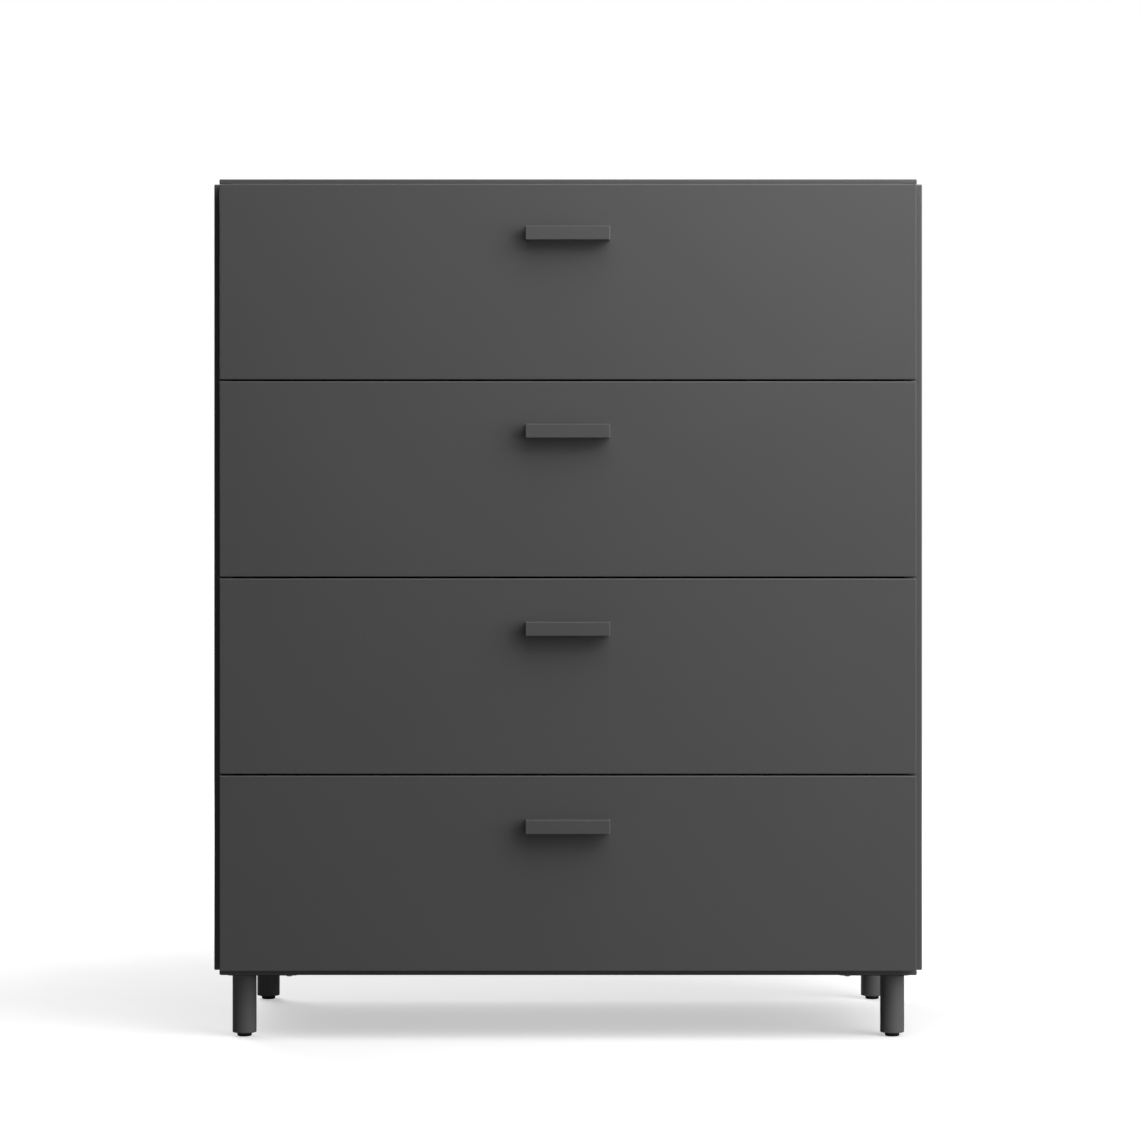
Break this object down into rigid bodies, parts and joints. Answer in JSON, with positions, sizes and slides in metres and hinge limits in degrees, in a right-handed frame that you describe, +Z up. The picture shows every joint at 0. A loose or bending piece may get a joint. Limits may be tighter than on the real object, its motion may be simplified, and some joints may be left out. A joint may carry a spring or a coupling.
{
  "type": "drawer cabinet",
  "caption": "Low steel filing cabinet on round legs, with full-width drawers that pull out on telescopic slides by small block handles.",
  "frame": {"origin": "on the floor, below the middle of the whole object's box", "axes": "+Z up; the drawers open towards -Y; -X is left as seen from the front"},
  "size_m": [0.82, 0.432, 0.997],
  "materials": {
    "carcass_paint": "satin powder coat, dark grey",
    "front_paint": "satin powder coat, dark grey",
    "handle_paint": "satin powder coat, dark grey",
    "leg_paint": "satin powder coat, dark grey",
    "liner_paint": "fine textured powder coat, dark grey",
    "slide_steel": "zinc plated, lightly oiled",
    "zinc_screw": "bright zinc plated",
    "foot_plastic": "black moulded plastic"
  },
  "bodies": {
    "cabinet": {"side_panel_left": "carcass_paint", "side_panel_right": "carcass_paint", "side_liner_left": "liner_paint", "side_liner_right": "liner_paint", "top_panel": "carcass_paint", "bottom_panel": "carcass_paint", "back_panel": "carcass_paint", "cabinet_screws": "zinc_screw", "leg_front_left": "leg_paint", "leg_front_right": "leg_paint", "leg_rear_left": "leg_paint", "leg_rear_right": "leg_paint", "foot_front_left": "foot_plastic", "foot_front_right": "foot_plastic", "foot_rear_left": "foot_plastic", "foot_rear_right": "foot_plastic", "slide_1_left_outer": "slide_steel", "slide_1_right_outer": "slide_steel", "slide_2_left_outer": "slide_steel", "slide_2_right_outer": "slide_steel", "slide_3_left_outer": "slide_steel", "slide_3_right_outer": "slide_steel", "slide_4_left_outer": "slide_steel", "slide_4_right_outer": "slide_steel"},
    "drawer_1": {"drawer_1_front": "front_paint", "drawer_1_liner": "liner_paint", "drawer_1_box": "liner_paint", "drawer_1_handle": "handle_paint", "drawer_1_screws": "zinc_screw", "slide_1_left_inner": "slide_steel", "slide_1_right_inner": "slide_steel"},
    "drawer_2": {"drawer_2_front": "front_paint", "drawer_2_liner": "liner_paint", "drawer_2_box": "liner_paint", "drawer_2_handle": "handle_paint", "drawer_2_screws": "zinc_screw", "slide_2_left_inner": "slide_steel", "slide_2_right_inner": "slide_steel"},
    "drawer_3": {"drawer_3_front": "front_paint", "drawer_3_liner": "liner_paint", "drawer_3_box": "liner_paint", "drawer_3_handle": "handle_paint", "drawer_3_screws": "zinc_screw", "slide_3_left_inner": "slide_steel", "slide_3_right_inner": "slide_steel"},
    "drawer_4": {"drawer_4_front": "front_paint", "drawer_4_liner": "liner_paint", "drawer_4_box": "liner_paint", "drawer_4_handle": "handle_paint", "drawer_4_screws": "zinc_screw", "slide_4_left_inner": "slide_steel", "slide_4_right_inner": "slide_steel"},
    "slide_1": {"slide_1_left_middle": "slide_steel", "slide_1_right_middle": "slide_steel"},
    "slide_2": {"slide_2_left_middle": "slide_steel", "slide_2_right_middle": "slide_steel"},
    "slide_3": {"slide_3_left_middle": "slide_steel", "slide_3_right_middle": "slide_steel"},
    "slide_4": {"slide_4_left_middle": "slide_steel", "slide_4_right_middle": "slide_steel"}
  },
  "joints": [
    {"name": "drawer_1_slide", "type": "slide", "parent": "cabinet", "child": "drawer_1", "axis": [0, -1, 0], "range_m": [0, 0.34]},
    {"name": "drawer_2_slide", "type": "slide", "parent": "cabinet", "child": "drawer_2", "axis": [0, -1, 0], "range_m": [0, 0.34]},
    {"name": "drawer_3_slide", "type": "slide", "parent": "cabinet", "child": "drawer_3", "axis": [0, -1, 0], "range_m": [0, 0.34]},
    {"name": "drawer_4_slide", "type": "slide", "parent": "cabinet", "child": "drawer_4", "axis": [0, -1, 0], "range_m": [0, 0.34]},
    {"name": "slide_1_extend", "type": "slide", "parent": "cabinet", "child": "slide_1", "axis": [0, -1, 0], "range_m": [0, 0.17]},
    {"name": "slide_2_extend", "type": "slide", "parent": "cabinet", "child": "slide_2", "axis": [0, -1, 0], "range_m": [0, 0.17]},
    {"name": "slide_3_extend", "type": "slide", "parent": "cabinet", "child": "slide_3", "axis": [0, -1, 0], "range_m": [0, 0.17]},
    {"name": "slide_4_extend", "type": "slide", "parent": "cabinet", "child": "slide_4", "axis": [0, -1, 0], "range_m": [0, 0.17]}
  ],
  "couplings": [
    {"joint": "slide_1_extend", "follows": "drawer_1_slide", "ratio": 0.5},
    {"joint": "slide_2_extend", "follows": "drawer_2_slide", "ratio": 0.5},
    {"joint": "slide_3_extend", "follows": "drawer_3_slide", "ratio": 0.5},
    {"joint": "slide_4_extend", "follows": "drawer_4_slide", "ratio": 0.5}
  ]
}
